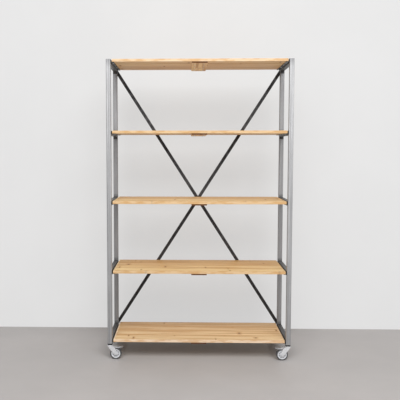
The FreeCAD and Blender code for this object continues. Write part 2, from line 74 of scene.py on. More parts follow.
# Places read from the frame
UPRIGHT_LOW, UPRIGHT_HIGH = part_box("left_front_upright")
TUBE_SIDE = UPRIGHT_HIGH.y - UPRIGHT_LOW.y
FRONT_Y = UPRIGHT_LOW.y
REAR_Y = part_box("left_rear_upright")[1].y
MIDDLE_Y = (FRONT_Y + REAR_Y) / 2
JOINT_FACE_Y = (REAR_Y - FRONT_Y) / 2 - TUBE_SIDE
INNER_FACE_X = -UPRIGHT_HIGH.x
UPRIGHT_X = INNER_FACE_X + TUBE_SIDE / 2
BASE_Z = UPRIGHT_LOW.z
TOP_LEVEL = len(LEVELS) - 1
SHELF_TOPS = [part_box(f"{level}_shelf_plank_1")[1].z for level in LEVELS]
LEVEL_PITCH = SHELF_TOPS[1] - SHELF_TOPS[0]
PLANK_LOW, PLANK_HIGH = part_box("bottom_shelf_plank_1")
PLANK_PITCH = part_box("bottom_shelf_plank_2")[0].y - PLANK_LOW.y
PLANK_WIDTH = PLANK_HIGH.y - PLANK_LOW.y
PLANK_HALF_LENGTH = PLANK_HIGH.x
CLEAT_LOW, CLEAT_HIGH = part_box("bottom_shelf_cleat")
CLEAT_HALF_LENGTH = (CLEAT_HIGH.y - CLEAT_LOW.y) / 2
CLEAT_MIDDLE_Y = (CLEAT_LOW.y + CLEAT_HIGH.y) / 2
LEDGE_LOW, LEDGE_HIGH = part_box("left_shelf_ledges")
# From a shelf's top down to the underside of its ledges
LEDGE_DROP = SHELF_TOPS[0] - LEDGE_LOW.z

# Limits and steps of meshes
MERGE_DISTANCE = 1e-5
FLAT_ANGLE = math.radians(1.0)
SHARP_ANGLE = math.radians(35.0)
QUARTER_TURN = math.pi / 2
ROUND_PROFILE = 0.5
SHOULDER_SEGMENTS = 5
BEAD_SEGMENTS = 10
RIDGE_SEGMENTS = 14
RIDGE_END_SEGMENTS = 3
TYRE_STEPS = 72
WASHER_STEPS = 40

# Shares of a full size: widths along a weld bead, thickness of a ledge's bead, and roundings
BEAD_END = 0.45
BEAD_TROUGH = 0.80
BEAD_CREST = 1.0
LEDGE_BEAD = 0.7
WASHER_ROUNDING_PART = 3
RIB_ROUNDING_PART = 4
RIDGE_ROUNDING = 0.8

# Sockets of a Mix node that are for colours
MIX_SHARE, MIX_FIRST, MIX_SECOND, MIX_RESULT = 0, 6, 7, 2

# In the settings below, a noise is its scale, detail and roughness, a span or a run is the two values between
# which a mark comes in, and a ramp is a span with what it goes from and to. A share is how much of a colour
# is blended in, and a pair of roughnesses is for a missing and for a full mark.

# Metal and mouldings
STREAK_NOISE = (1.0, 5.0, 0.62)
STREAK_SPAN = (0.32, 0.70)
MOTTLE_NOISE = (9.0, 4.0)
MOTTLE_SPAN = (0.34, 0.68)
SPECKLE_NOISE = (420.0, 2.0)
SPECKLE_RAMP = (0.35, 0.75, 0.0, 0.25)
FINE_STRETCH = (90.0, 90.0, 60.0)
HUB_MOTTLE_SHARE = 0.45
HUB_RIM_RUN = (0.0012, 0.0002)
HUB_BOSS_RUN = (0.0015, 0.0005)
# Painted shade and painted reflection of the shelf's dark underside, on the brake levers towards their tips
TIP_SHADE_RUN = (0.05, 0.028)
TIP_SHADE_SHARE = 0.85
# Roughness, relief and constant inputs
PLUG = ((0.5, 0.38), 0.00003)
MOULDED = ((0.46, 0.32), 0.00003)
TYRE = ((0.78, 0.62), 0.00005)
ZINC = ((0.42, 0.26), 0.00001, {"Metallic": 0.45})
WELD = ((0.55, 0.36), 0.00004, {"Metallic": 0.9})

# Flat bar in mill scale
SCALE_STRETCH = (60.0, 60.0, 35.0)
SCALE_MOTTLE_SHARE = 0.5
SCALE_ROUGHNESS = (0.56, 0.36)
SCALE_RELIEF = 0.00008
SCALE_SHADER = {"Metallic": 0.55}

# Steel tube with painted shade towards the rear, and the zones that welding burnt, with painted shade below
# each rail
UPRIGHT_STRETCH = (150.0, 150.0, 1.6)
RAIL_STRETCH = (150.0, 3.0, 150.0)
STEEL_MOTTLE_SHARE = 0.22
# Share of the painted shade that darkens the rear uprights and the rear halves of the rails
STEEL_REAR_SHADE_SHARE = 0.7
STEEL_ROUGHNESS = (0.60, 0.47)
STEEL_RELIEF = 0.00006
STEEL_SHADER = {"Metallic": 0.9, "Coat Weight": 0.1, "Coat Roughness": 0.2}
BURNT_ROUGHNESS = 0.15
# Burnt zones: weaker above each rail and full below it, where the extra darkness is painted shade under the
# rail
BURN_AND_SHADE_SHARES = (0.75, 0.92)
BURN_AND_SHADE_RUN = (TUBE_SIDE * 1.16, TUBE_SIDE * 1.04)
BURN_AND_UNDER_RAIL_SHADE_RAMP = (-TUBE_SIDE / 4, TUBE_SIDE / 4, 1.0, 0.45)
BURN_AND_SHADE_FACE_RUN = (JOINT_FACE_Y + 0.0045, JOINT_FACE_Y + 0.001)
RAIL_BURN_RUN = (JOINT_FACE_Y - 0.014, JOINT_FACE_Y - 0.004)
TOP_BURN_RAMP = (UPRIGHT_HIGH.z - 0.06, UPRIGHT_HIGH.z - 0.008, 0.0, 0.36)

# Grain of a board that runs along X, with knots in some of the cells that it is divided into
SEED_SHIFT = (37.0, 11.0, 5.0)
KNOT_CELLS = (3.4, 10.0, 0.0)
KNOT_RANDOMNESS = 0.85
KNOT_PRESENT_SPAN = (0.50, 0.52)
KNOT_LENGTH_RAMP = (0.3, 0.9, 70.0, 26.0)
KNOT_WIDTHS = (3.0, 8.0)
KNOT_RUN = (1.0, 0.45)
HALO_RUN = (3.0, 0.6)
PITH_SIDEWAYS = (-0.05, 0.05)
PITH_DEPTH = 0.062
RING_STRETCH = (0.13, 1.0, 1.0)
RING_WAVE = {"Scale": 26.0, "Distortion": 5.5, "Detail": 2.5, "Detail Scale": 0.9}
RING_BEND = 5.0
RING_SPAN = (0.35, 1.0)
BAND_STRETCH = (1.7, 40.0, 40.0)
BAND_NOISE = (1.0, 4.0, 0.6)
BAND_SPAN = (0.46, 0.62)
FIBRE_STRETCH = (7.0, 260.0, 260.0)
# Share of the late wood's colour in each mark of the grain
GRAIN_RAMPS = {"Band": (0.0, 1.0, 0.0, 0.62), "Ring": (0.0, 1.0, 0.0, 0.34),
               "Fibre": (0.35, 0.75, 0.0, 0.18), "Halo": (0.0, 1.0, 0.0, 0.50)}
KNOT_SHARE = 0.80

# Planks and cleats
PLANK_TONES = (0.02, 0.32)
# Painted shade: planks further back are darkened towards the dark pine
REAR_PLANK_SHADE_RAMP = (0.9, 2.0, 0.0, 0.48)
SEAM_RAMP = (PLANK_WIDTH / 2 - 0.009, PLANK_WIDTH / 2 - 0.001, 0.0, 0.85)
TOP_GOLD_RAMP = (TOP_LEVEL, TOP_LEVEL - 1, 0.5, 1.0)
# Painted highlight: the shelves' front edges and the planks' ends are lightened to cream, less on the shelves
# between bottom and top
FRONT_EDGE_HIGHLIGHT_RAMP = (PLANK_LOW.y + 0.003, PLANK_LOW.y + 0.0005, 0.0, 0.7)
GOLDEN_EDGE_HIGHLIGHT_SHARE = 0.75
PLANK_END_HIGHLIGHT_RAMP = (PLANK_HALF_LENGTH - 0.012, PLANK_HALF_LENGTH - 0.004, 0.0, 0.6)
BLOTCH_STRETCH = (10.0, 0.0, 50.0)
BLOTCH_RAMP = (0.44, 0.62, 0.0, 0.75)
PLANK_ROUGHNESS_RAMP = (0.3, 0.8, 0.42, 0.58)
RING_RELIEF_SHARE = 0.6
PLANK_RELIEF = 0.00022
PLANK_SHADER = {"Specular IOR Level": 0.15}
CLEAT_TONES = (0.1, 0.5)
# Stain and painted shade on the cleat ends
STAIN_AND_SHADE_RAMP = (CLEAT_HALF_LENGTH - 0.004, CLEAT_HALF_LENGTH - 0.0005, 0.0, 0.95)
STAIN_ROUGHNESS = 0.3
CLEAT_ROUGHNESS_RAMP = (0.3, 0.8, 0.48, 0.64)
CLEAT_RELIEF = 0.0002
CLEAT_SHADER = {"Specular IOR Level": 0.1}

# Stage: sheets with their roughness and gloss, and lamps with their place, target, width and height
STAGE_REACH = 9.0
WALL_HEIGHT = 4.5
STAGE_STRETCH = (0.2, 0.2, 0.2)
STAGE_SHADE = 0.95
FLOOR_SURFACE = (0.2, 0.02)
WALL_SURFACE = (0.8, 0.3)
FRONT_PANEL = ((0, -6.4, 2.7), (0, 0, 1.2), 7.0, 3.6)
KEY_PANEL = ((0.4, -4.4, 4.6), (0, 0, 0.8), 5.5, 3.0)
SIDE_PANEL = ((1.9, -4.2, 0.9), (0.6, 0, 0.7), 1.2, 1.6)


def colour(label, description, default):
    """Setting of a colour."""
    return FloatVectorProperty(name=label, description=description, subtype="COLOR", size=3, min=0, max=1,
                               default=default)


def length(label, description, default):
    """Setting of a length."""
    return FloatProperty(name=label, description=description, unit="LENGTH", min=0, default=default)


def count(label, description, default, least):
    """Setting of a whole number."""
    return IntProperty(name=label, description=description, default=default, min=least)


def power(label, description, default):
    """Setting of a lamp's power."""
    return FloatProperty(name=label, description=description, subtype="POWER", unit="POWER", default=default)


def angle(label, description, default):
    """Setting of an angle."""
    return FloatProperty(name=label, description=description, subtype="ANGLE", default=default)


class ShelvingFinishes(bpy.types.PropertyGroup):
    """Colours of the unit's finishes."""
    steel_light: colour("Steel", "Clear-lacquered raw steel of the uprights", (0.48, 0.482, 0.492))
    steel_dark: colour("Steel streaks", "Dark lengthwise streaks in the uprights", (0.30, 0.301, 0.306))
    # Painted shade: darker colour for the rear uprights, standing in for the shade they lie in
    rear_upright_shade: colour("Rear uprights", "Duller steel of the rear uprights", (0.27, 0.271, 0.28))
    # Painted shade: the rails are the uprights' steel coloured much darker to stand in for the shade on them,
    # and the streak colour also darkens their rear halves
    rail_shaded_steel: colour("Rails", "Duller steel of the side rails", (0.175, 0.172, 0.169))
    rail_shaded_streaks: colour("Rail streaks", "Dark lengthwise streaks in the rails", (0.085, 0.083, 0.081))
    # Real weld burn, also laid on the uprights just below each rail as painted shade
    weld_dark: colour("Weld zone", "Steel burnt dark beside the welds", (0.045, 0.043, 0.042))
    weld_light: colour("Weld bead", "Brighter ripples of the weld beads", (0.20, 0.185, 0.17))
    scale_light: colour("Flat bar", "Mill scale on the brace bars and ledges", (0.062, 0.062, 0.064))
    scale_dark: colour("Flat bar patches", "Darker patches of the mill scale", (0.022, 0.022, 0.024))
    pine_light: colour("Pine", "Light planks", (0.95, 0.73, 0.42))
    # The dark pine is also blended in as painted shade on the rear planks
    pine_dark: colour("Dark pine", "Redder, darker planks", (0.64, 0.41, 0.22))
    pine_ring: colour("Late wood", "Dark lines of the grain", (0.50, 0.255, 0.085))
    pine_knot: colour("Knots", "Knots in the planks", (0.20, 0.08, 0.028))
    # Painted highlight: the cream on the edges and ends stands in for the light they catch
    pine_edge_highlight: colour("Shelf edges", "Cream front edges and ends of the planks", (0.89, 0.745, 0.58))
    pine_gold: colour("Golden tint", "Tint of the shelves above the bottom one", (0.95, 0.91, 0.77))
    # Stained end grain, darkened further as painted shade under the planks
    cleat_end_stain_and_shade: colour("Cleat ends", "Stained end grain of the cleats", (0.105, 0.036, 0.016))
    zinc: colour("Zinc", "Bright zinc plate of the castors", (0.88, 0.885, 0.90))
    zinc_dull: colour("Dull zinc", "Dull patches of the plate", (0.60, 0.61, 0.63))
    hub: colour("Hub", "Light grey moulded hubs", (0.80, 0.81, 0.84))
    # Also painted as shade and reflection on the brake levers' tips
    hub_shade: colour("Hub shade", "Darker mottle of the hubs, and the worn pedals", (0.36, 0.365, 0.38))
    tyre: colour("Tyre", "Dark grey rubber", (0.040, 0.041, 0.044))
    tyre_dust: colour("Tyre dust", "Floor dust on the rubber", (0.095, 0.095, 0.097))
    plug: colour("End plugs", "Black moulded plugs", (0.006, 0.006, 0.0065))
    plug_bloom: colour("Plug bloom", "Greyer patches of the plugs", (0.014, 0.014, 0.015))


class ShelvingDetails(bpy.types.PropertyGroup):
    """Sizes of the pieces that are added to the frame."""
    weld_radius: length("Weld radius", "Radius of a weld bead", 0.0032)
    weld_length: length("Weld length", "Length of a weld bead", 0.024)
    weld_ripples: count("Weld ripples", "Ripples along a bead", 7, 2)
    ledge_weld_inset: length("Ledge weld inset", "From a ledge's end to the middle of its end bead", 0.05)
    edge_rounding: length("Edge rounding", "Radius on the edges of the pressed forks and levers", 0.0007)
    tyre_rounding: length("Tyre rounding", "Radius of a tyre's shoulders", 0.0052)
    tyre_thickness: length("Tyre thickness", "Thickness of the rubber", 0.009)
    hub_ribs: count("Hub ribs", "Ribs on each side of a hub", 8, 3)
    hub_boss_radius: length("Hub boss radius", "Where the ribs start", 0.0125)
    hub_rim: length("Hub rim", "Thickness of a hub's rim", 0.004)
    hub_dish: length("Hub dish", "Depth of the dish that the ribs stand in", 0.005)
    hub_rib_width: length("Hub rib width", "Thickness of a hub rib", 0.0028)
    hub_rib_inset: length("Hub rib inset", "From the hub's rim face in to the top of a rib", 0.0012)
    pedal_ridges: count("Pedal ridges", "Grip ridges on a brake pedal", 4, 1)
    pedal_ridge_radius: length("Pedal ridge radius", "Radius of a grip ridge", 0.0011)
    pedal_ridge_length: length("Pedal ridge length", "Length of a grip ridge", 0.024)
    pedal_ridge_spacing: length("Pedal ridge spacing", "Distance between grip ridges", 0.0045)
    pedal_droop: length("Pedal droop", "How far a brake lever's top falls from its pin to its tip", 0.0015)
    lever_sink: length("Lever sink", "From the top of a lever's boss down to the top of its arm", 0.001)
    pedal_boss_radius: length("Lever boss radius", "Radius of the boss that a brake lever turns on", 0.0045)
    axle_head: length("Axle head", "Height of an axle bolt's head", 0.005)
    axle_nut: length("Axle nut", "Height of an axle nut with the end of its bolt", 0.008)
    brace_bolt_head: length("Brace bolt head", "Height of a brace bolt's head", 0.004)
    brace_bolt_half: length("Brace bolt half", "Half the width across the flats of a brace bolt", 0.005)
    washer_bore: length("Washer bore", "Radius of the hole in a washer", 0.0042)
    washer_width: length("Washer width", "How far a washer stands out from its bolt's head", 0.0024)
    washer_thickness: length("Washer thickness", "Thickness of the washers", 0.0011)


class ShelvingStage(bpy.types.PropertyGroup):
    """Studio, lamps and camera."""
    floor: colour("Floor", "Plain pale floor", (0.47, 0.449, 0.439))
    wall: colour("Wall", "Plain pale wall behind the unit", (0.70, 0.70, 0.70))
    wall_glow: colour("Wall as seen", "Even tone that lightens the wall for the camera", (0.81, 0.81, 0.81))
    wall_glow_share: FloatProperty(name="Wall glow share", description="How far the even tone hides shadows",
                                   subtype="FACTOR", min=0, max=1, default=0.65)
    sky: colour("Surroundings", "Even light from all round", (0.33, 0.33, 0.333))
    backdrop: colour("Backdrop", "Surroundings as the camera and reflections see them", (0.46, 0.46, 0.463))
    wall_y: length("Wall place", "Distance of the wall behind the origin", 0.56)
    front_power: power("Front panel", "Power of the large panel behind the camera", 70.0)
    key_power: power("Key panel", "Power of the high panel in front of the unit", 315.0)
    side_power: power("Side panel", "Power of the low panel to the right of the camera", 12.0)
    lens: FloatProperty(name="Lens", description="Focal length on a 36 mm sensor", unit="CAMERA",
                        default=59.57)
    shift: FloatVectorProperty(name="Shift", description="Off-centre framing of the photograph", size=2,
                               default=(0.0838, -0.0008))
    eye: FloatVectorProperty(name="Eye", description="Place of the camera", subtype="TRANSLATION",
                             unit="LENGTH", default=(-0.0946, -4.4946, 1.3745))
    yaw: angle("Yaw", "Turn of the camera to the right", -0.0275)
    pitch: angle("Pitch", "Tilt of the camera downwards", 0.0742)


# Node helpers

def node(tree, kind, inputs=None, **settings):
    """Add a node, with settings, and inputs given as values or as sockets to link."""
    made = tree.nodes.new(kind)
    for name, value in settings.items():
        setattr(made, name, value)
    for name, value in (inputs or {}).items():
        if isinstance(value, bpy.types.NodeSocket):
            tree.links.new(value, made.inputs[name])
        else:
            made.inputs[name].default_value = value
    return made


def sums(tree, operation, *operands):
    """Result of a Math node."""
    return node(tree, "ShaderNodeMath", dict(enumerate(operands)), operation=operation).outputs[0]


def vector_sums(tree, operation, *operands):
    """Result of a Vector Math node, which is a number where the operation measures a length."""
    made = node(tree, "ShaderNodeVectorMath", dict(enumerate(operands)), operation=operation)
    return made.outputs["Value" if operation == "LENGTH" else "Vector"]


def joined(tree, *axes):
    """Vector of up to three numbers."""
    return node(tree, "ShaderNodeCombineXYZ", dict(enumerate(axes))).outputs[0]


def stretched(tree, vector, stretch):
    """Coordinates multiplied axis by axis."""
    return vector_sums(tree, "MULTIPLY", vector, stretch)


def distance(tree, value, middle):
    """How far a value lies from a middle one."""
    return sums(tree, "ABSOLUTE", sums(tree, "SUBTRACT", value, middle))


def blend(tree, share, first, second, mode="MIX"):
    """Mix of two colours, given as sockets or as three numbers."""
    inputs = {MIX_SHARE: share}
    for index, value in ((MIX_FIRST, first), (MIX_SECOND, second)):
        inputs[index] = value if isinstance(value, bpy.types.NodeSocket) else (*value, 1.0)
    return node(tree, "ShaderNodeMix", inputs, data_type="RGBA", blend_type=mode).outputs[MIX_RESULT]


def ramp(tree, value, low, high, start=0.0, stop=1.0):
    """Smooth step from start to stop as a value goes from low to high."""
    inputs = {"Value": value, "From Min": low, "From Max": high, "To Min": start, "To Max": stop}
    return node(tree, "ShaderNodeMapRange", inputs, interpolation_type="SMOOTHSTEP").outputs[0]


def scaled(tree, value, start, stop):
    """Smooth step from start to stop as a value goes from 0 to 1."""
    return ramp(tree, value, 0.0, 1.0, start, stop)


def noise(tree, vector, scale=1.0, detail=3.0, roughness=0.55):
    """Value of a noise texture."""
    inputs = {"Vector": vector, "Scale": scale, "Detail": detail, "Roughness": roughness}
    return node(tree, "ShaderNodeTexNoise", inputs).outputs["Fac"]


def object_place(tree):
    """Object coordinates, whole and as separate axes."""
    place = node(tree, "ShaderNodeTexCoord").outputs["Object"]
    axes = node(tree, "ShaderNodeSeparateXYZ", {0: place}).outputs
    return place, axes


def new_group(name, inputs, outputs):
    """Empty node group with named sockets, and its two end nodes."""
    group = bpy.data.node_groups.new(name, "ShaderNodeTree")
    for label, kind in inputs.items():
        group.interface.new_socket(name=label, in_out="INPUT", socket_type=f"NodeSocket{kind}")
    for label in outputs:
        group.interface.new_socket(name=label, in_out="OUTPUT", socket_type="NodeSocketFloat")
    return group, group.nodes.new("NodeGroupInput"), group.nodes.new("NodeGroupOutput")


def link_outputs(group, end, **sockets):
    """Link the named outputs of a node group."""
    for label, socket in sockets.items():
        group.links.new(socket, end.inputs[label])


def use_group(tree, group, inputs):
    """Place a node group in a material and return its outputs."""
    return node(tree, "ShaderNodeGroup", inputs, node_tree=group).outputs


def streak_group():
    """Long streaks, broad mottle and fine speckle of rolled or plated metal and of mouldings."""
    found = bpy.data.node_groups.get("surface_streaks")
    if found:
        return found
    group, start, end = new_group("surface_streaks", {"Vector": "Vector", "Stretch": "Vector"},
                                  ("Streak", "Mottle", "Speckle"))
    place = start.outputs["Vector"]
    drawn = stretched(group, place, start.outputs["Stretch"])
    streak = ramp(group, noise(group, drawn, *STREAK_NOISE), *STREAK_SPAN)
    mottle = ramp(group, noise(group, place, *MOTTLE_NOISE), *MOTTLE_SPAN)
    speckle = noise(group, place, *SPECKLE_NOISE)
    link_outputs(group, end, Streak=streak, Mottle=mottle, Speckle=speckle)
    return group


def knot_masks(group, place):
    """Masks of the knots that lie in some cells of a board, and of the wider halos round them."""
    spaced = stretched(group, place, KNOT_CELLS)
    cells = node(group, "ShaderNodeTexVoronoi",
                 {"Vector": spaced, "Scale": 1.0, "Randomness": KNOT_RANDOMNESS}, voronoi_dimensions="2D")
    lot = node(group, "ShaderNodeSeparateColor", {0: cells.outputs["Color"]}).outputs
    present = ramp(group, lot[0], *KNOT_PRESENT_SPAN)
    offset = vector_sums(group, "SUBTRACT", spaced, cells.outputs["Position"])
    lengthwise = ramp(group, lot[1], *KNOT_LENGTH_RAMP)
    narrow = joined(group, lengthwise, scaled(group, lot[2], *KNOT_WIDTHS))
    near = vector_sums(group, "LENGTH", stretched(group, offset, narrow))
    return [sums(group, "MULTIPLY", ramp(group, near, *run), present) for run in (KNOT_RUN, HALO_RUN)]


def grain_group():
    """Grain of a board that runs along its first axis: late-wood lines, broad bands, fibres and knots."""
    found = bpy.data.node_groups.get("board_grain")
    if found:
        return found
    group, start, end = new_group("board_grain", {"Vector": "Vector", "Seed": "Float"},
                                  ("Ring", "Band", "Fibre", "Knot", "Halo"))
    seed = start.outputs["Seed"]
    shifts = [sums(group, "MULTIPLY", seed, shift) for shift in SEED_SHIFT]
    place = vector_sums(group, "ADD", start.outputs["Vector"], joined(group, *shifts))
    knot, halo = knot_masks(group, place)
    pith = joined(group, 0.0, scaled(group, seed, *PITH_SIDEWAYS), PITH_DEPTH)
    centred = vector_sums(group, "ADD", start.outputs["Vector"], pith)
    slid = vector_sums(group, "ADD", centred, joined(group, shifts[0]))
    bend = sums(group, "MULTIPLY", halo, RING_BEND)
    wave = {**RING_WAVE, "Vector": stretched(group, slid, RING_STRETCH), "Phase Offset": bend}
    lines = node(group, "ShaderNodeTexWave", wave, wave_type="RINGS", rings_direction="X",
                 wave_profile="SAW").outputs["Fac"]
    late_wood = ramp(group, lines, *RING_SPAN)
    band = ramp(group, noise(group, stretched(group, place, BAND_STRETCH), *BAND_NOISE), *BAND_SPAN)
    fibre = noise(group, stretched(group, place, FIBRE_STRETCH))
    link_outputs(group, end, Ring=late_wood, Band=band, Fibre=fibre, Knot=knot, Halo=halo)
    return group


# Materials

def surface(name):
    """New material with only its shader and output, its node tree and its shader."""
    material = bpy.data.materials.new(name)
    material.use_nodes = True
    tree = material.node_tree
    return material, tree, tree.nodes["Principled BSDF"]


def close(tree, shader, base, roughness, height, relief, constants=None):
    """Link what varies over a surface to its shader, and set what doesn't on the shader."""
    tree.links.new(base, shader.inputs["Base Color"])
    tree.links.new(roughness, shader.inputs["Roughness"])
    bump = node(tree, "ShaderNodeBump", {"Height": height, "Distance": relief, "Strength": 1.0})
    tree.links.new(bump.outputs[0], shader.inputs["Normal"])
    for label, value in (constants or {}).items():
        shader.inputs[label].default_value = value


def steel_material(name, light, dark, burnt, rear, stretch, burn_and_shade_zone):
    """Raw steel tube under clear lacquer, with painted shade darkening the rear half. The zone mask adds what
    welding burnt, and painted shade under the rails.
    """
    material, tree, shader = surface(name)
    place, axes = object_place(tree)
    marks = use_group(tree, streak_group(), {"Vector": place, "Stretch": stretch})
    bare = blend(tree, marks["Streak"], dark, light)
    bare = blend(tree, scaled(tree, marks["Mottle"], STEEL_MOTTLE_SHARE, 0.0), bare, dark)
    # Painted shade: everything behind the middle is darkened towards the rear colour
    rear_shade_share = ramp(tree, axes[1], MIDDLE_Y - TUBE_SIDE, MIDDLE_Y + TUBE_SIDE, 0.0, STEEL_REAR_SHADE_SHARE)
    bare = blend(tree, rear_shade_share, bare, rear)
    # Weld burn mixed with painted shade below the rails
    burn_and_shade = sums(tree, "MULTIPLY", burn_and_shade_zone(tree, axes), scaled(tree, marks["Mottle"], *BURN_AND_SHADE_SHARES))
    base = blend(tree, burn_and_shade, bare, burnt)
    streaky = scaled(tree, marks["Streak"], *STEEL_ROUGHNESS)
    roughness = sums(tree, "ADD", streaky, sums(tree, "MULTIPLY", burn_and_shade, BURNT_ROUGHNESS))
    close(tree, shader, base, roughness, marks["Streak"], STEEL_RELIEF, STEEL_SHADER)
    return material


def upright_burn_and_shade_zone(tree, axes):
    """Mask of an upright's joint face above, behind and below each rail, and faintly of its welded top. Below
    each rail it is full strength, as painted shade of the rail's underside.
    """
    offset = sums(tree, "SUBTRACT", axes[2], BASE_Z + TUBE_SIDE / 2 - LEVEL_PITCH / 2)
    wrapped = sums(tree, "FLOORED_MODULO", offset, LEVEL_PITCH)
    above = sums(tree, "SUBTRACT", wrapped, LEVEL_PITCH / 2)
    band = ramp(tree, sums(tree, "ABSOLUTE", above), *BURN_AND_SHADE_RUN)
    band = sums(tree, "MULTIPLY", band, ramp(tree, above, *BURN_AND_UNDER_RAIL_SHADE_RAMP))
    face = ramp(tree, distance(tree, axes[1], MIDDLE_Y), *BURN_AND_SHADE_FACE_RUN)
    top = ramp(tree, axes[2], *TOP_BURN_RAMP)
    return sums(tree, "MAXIMUM", sums(tree, "MULTIPLY", band, face), top)


def rail_weld_zone(tree, axes):
    """Mask of a rail beside the uprights."""
    return ramp(tree, distance(tree, axes[1], MIDDLE_Y), *RAIL_BURN_RUN)


def mill_scale_material(finishes):
    """Flat bar left in its mill scale."""
    material, tree, shader = surface("mill_scale")
    place = object_place(tree)[0]
    marks = use_group(tree, streak_group(), {"Vector": place, "Stretch": SCALE_STRETCH})
    base = blend(tree, marks["Streak"], finishes.scale_dark, finishes.scale_light)
    base = blend(tree, scaled(tree, marks["Mottle"], SCALE_MOTTLE_SHARE, 0.0), base, finishes.scale_dark)
    roughness = scaled(tree, marks["Streak"], *SCALE_ROUGHNESS)
    close(tree, shader, base, roughness, marks["Streak"], SCALE_RELIEF, SCALE_SHADER)
    return material


def grained(tree, finishes, wood, grain):
    """Wood with its late-wood lines, bands, fibres and knots."""
    for mark, shares in GRAIN_RAMPS.items():
        wood = blend(tree, ramp(tree, grain[mark], *shares), wood, finishes.pine_ring)
    return blend(tree, scaled(tree, grain["Knot"], 0.0, KNOT_SHARE), wood, finishes.pine_knot)


def plank_material(finishes):
    """Planed and oiled pine. Each plank has its own tone and its own piece of grain, and painted shade
    darkens the rear planks.
    """
    material, tree, shader = surface("oiled_pine")
    place, axes = object_place(tree)
    row = sums(tree, "SUBTRACT", axes[1], PLANK_LOW.y)
    number = sums(tree, "FLOOR", sums(tree, "DIVIDE", row, PLANK_PITCH))
    height = sums(tree, "SUBTRACT", axes[2], SHELF_TOPS[0] - LEVEL_PITCH / 2)
    level = sums(tree, "FLOOR", sums(tree, "DIVIDE", height, LEVEL_PITCH))
    draw = node(tree, "ShaderNodeTexWhiteNoise", {"Vector": joined(tree, number, level)},
                noise_dimensions="2D").outputs["Value"]
    centre_y = sums(tree, "ADD", sums(tree, "MULTIPLY", number, PLANK_PITCH), PLANK_LOW.y + PLANK_WIDTH / 2)
    centre_z = sums(tree, "ADD", sums(tree, "MULTIPLY", level, LEVEL_PITCH), SHELF_TOPS[0])
    local = vector_sums(tree, "SUBTRACT", place, joined(tree, 0.0, centre_y, centre_z))
    grain = use_group(tree, grain_group(), {"Vector": local, "Seed": draw})
    # Painted shade on the rear planks
    rear_shade_share = ramp(tree, number, *REAR_PLANK_SHADE_RAMP)
    tone = sums(tree, "ADD", rear_shade_share, scaled(tree, draw, *PLANK_TONES))
    wood = blend(tree, tone, finishes.pine_light, finishes.pine_dark)
    seam = ramp(tree, distance(tree, axes[1], centre_y), *SEAM_RAMP)
    wood = blend(tree, seam, wood, finishes.pine_ring)
    base = grained(tree, finishes, wood, grain)
    golden = sums(tree, "MULTIPLY", ramp(tree, level, 0.0, 1.0), ramp(tree, level, *TOP_GOLD_RAMP))
    # Painted highlight on the shelves' front edges and the planks' ends, with darker blotches in it
    front = ramp(tree, axes[1], *FRONT_EDGE_HIGHLIGHT_RAMP)
    front = sums(tree, "MULTIPLY", front, scaled(tree, golden, 1.0, GOLDEN_EDGE_HIGHLIGHT_SHARE))
    end = ramp(tree, sums(tree, "ABSOLUTE", axes[0]), *PLANK_END_HIGHLIGHT_RAMP)
    blotch = noise(tree, stretched(tree, local, BLOTCH_STRETCH))
    edge = blend(tree, ramp(tree, blotch, *BLOTCH_RAMP), finishes.pine_edge_highlight, finishes.pine_dark)
    base = blend(tree, sums(tree, "MAXIMUM", front, end), base, edge)
    base = blend(tree, golden, base, finishes.pine_gold, "MULTIPLY")
    roughness = ramp(tree, grain["Fibre"], *PLANK_ROUGHNESS_RAMP)
    relief = sums(tree, "ADD", grain["Fibre"], sums(tree, "MULTIPLY", grain["Ring"], RING_RELIEF_SHARE))
    close(tree, shader, base, roughness, relief, PLANK_RELIEF, PLANK_SHADER)
    return material


def cleat_material(finishes):
    """Pine cleats, whose grain runs from front to back and whose ends are stained and darkened further as
    painted shade under the planks.
    """
    material, tree, shader = surface("stained_and_shaded_cleat")
    axes = object_place(tree)[1]
    level = sums(tree, "FLOOR", sums(tree, "DIVIDE", axes[2], LEVEL_PITCH))
    draw = node(tree, "ShaderNodeTexWhiteNoise", {"W": level}, noise_dimensions="1D").outputs["Value"]
    height = sums(tree, "FLOORED_MODULO", axes[2], LEVEL_PITCH)
    turned = joined(tree, axes[1], axes[0], height)
    grain = use_group(tree, grain_group(), {"Vector": turned, "Seed": draw})
    wood = blend(tree, scaled(tree, draw, *CLEAT_TONES), finishes.pine_light, finishes.pine_dark)
    wood = grained(tree, finishes, wood, grain)
    # Stain and painted shade on the cleat ends
    stain_and_shade = ramp(tree, distance(tree, axes[1], CLEAT_MIDDLE_Y), *STAIN_AND_SHADE_RAMP)
    base = blend(tree, stain_and_shade, wood, finishes.cleat_end_stain_and_shade)
    planed = ramp(tree, grain["Fibre"], *CLEAT_ROUGHNESS_RAMP)
    roughness = sums(tree, "ADD", planed, sums(tree, "MULTIPLY", stain_and_shade, STAIN_ROUGHNESS))
    close(tree, shader, base, roughness, grain["Fibre"], CLEAT_RELIEF, CLEAT_SHADER)
    return material


